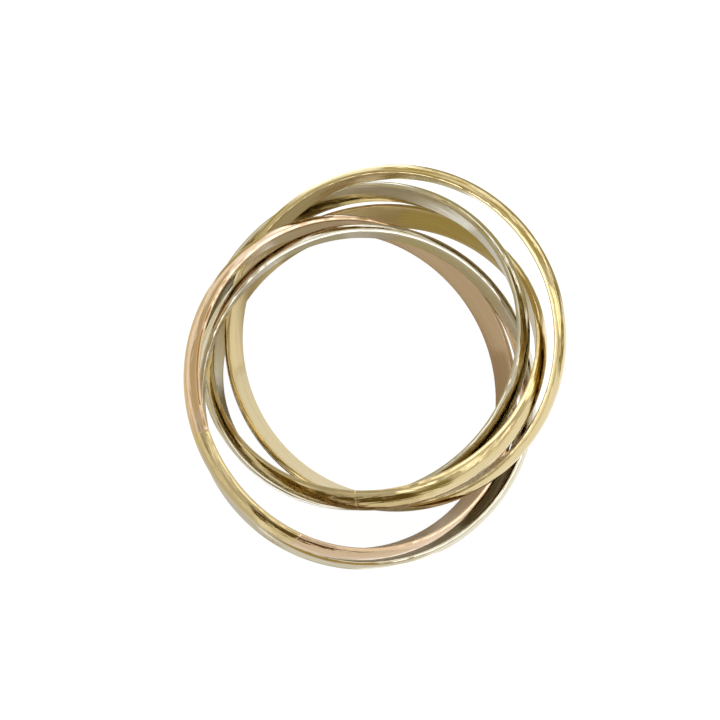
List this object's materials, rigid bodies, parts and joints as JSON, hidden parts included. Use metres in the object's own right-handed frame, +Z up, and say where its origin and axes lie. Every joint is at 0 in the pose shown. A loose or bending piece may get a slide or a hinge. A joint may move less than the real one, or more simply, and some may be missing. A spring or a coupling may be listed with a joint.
{
  "type": "rolling ring",
  "caption": "Finger ring of thin D-section gold bands in yellow, rose and white, each linked through every other, lying loosely on its side.",
  "frame": {"origin": "on the table, under the middle of the outline of the bands as they lie", "axes": "+Z up from the table, +X to the right and +Y to the top of the picture, lengths in metres"},
  "size_m": [0.0212, 0.023, 0.009],
  "materials": {
    "yellow_gold": "polished yellow gold with fine hairline scratches",
    "rose_gold": "polished rose gold with fine hairline scratches",
    "white_gold": "polished white gold with fine hairline scratches"
  },
  "bodies": {
    "yellow_band_outer": {"yellow_band_outer": "yellow_gold"},
    "rose_band": {"rose_band": "rose_gold"},
    "white_band_lower": {"white_band_lower": "white_gold"},
    "white_band_upper": {"white_band_upper": "white_gold"},
    "yellow_band_front": {"yellow_band_front": "yellow_gold"}
  },
  "joints": [
    {"name": "rose_band_roll", "type": "hinge", "parent": "yellow_band_outer", "child": "rose_band", "pos_m": [-0.00082, -0.00115, 0.00427], "axis": [0.3391, -0.035, 0.9401], "continuous": true},
    {"name": "white_band_lower_roll", "type": "hinge", "parent": "yellow_band_outer", "child": "white_band_lower", "pos_m": [-0.00036, -0.00182, 0.00354], "axis": [0.1108, -0.2366, 0.9653], "continuous": true},
    {"name": "white_band_upper_roll", "type": "hinge", "parent": "yellow_band_outer", "child": "white_band_upper", "pos_m": [-0.00091, 0.00159, 0.0035], "axis": [-0.2556, 0.0197, 0.9666], "continuous": true},
    {"name": "yellow_band_front_roll", "type": "hinge", "parent": "yellow_band_outer", "child": "yellow_band_front", "pos_m": [-0.00004, 0.00114, 0.00373], "axis": [-0.1472, 0.2402, 0.9595], "continuous": true}
  ]
}
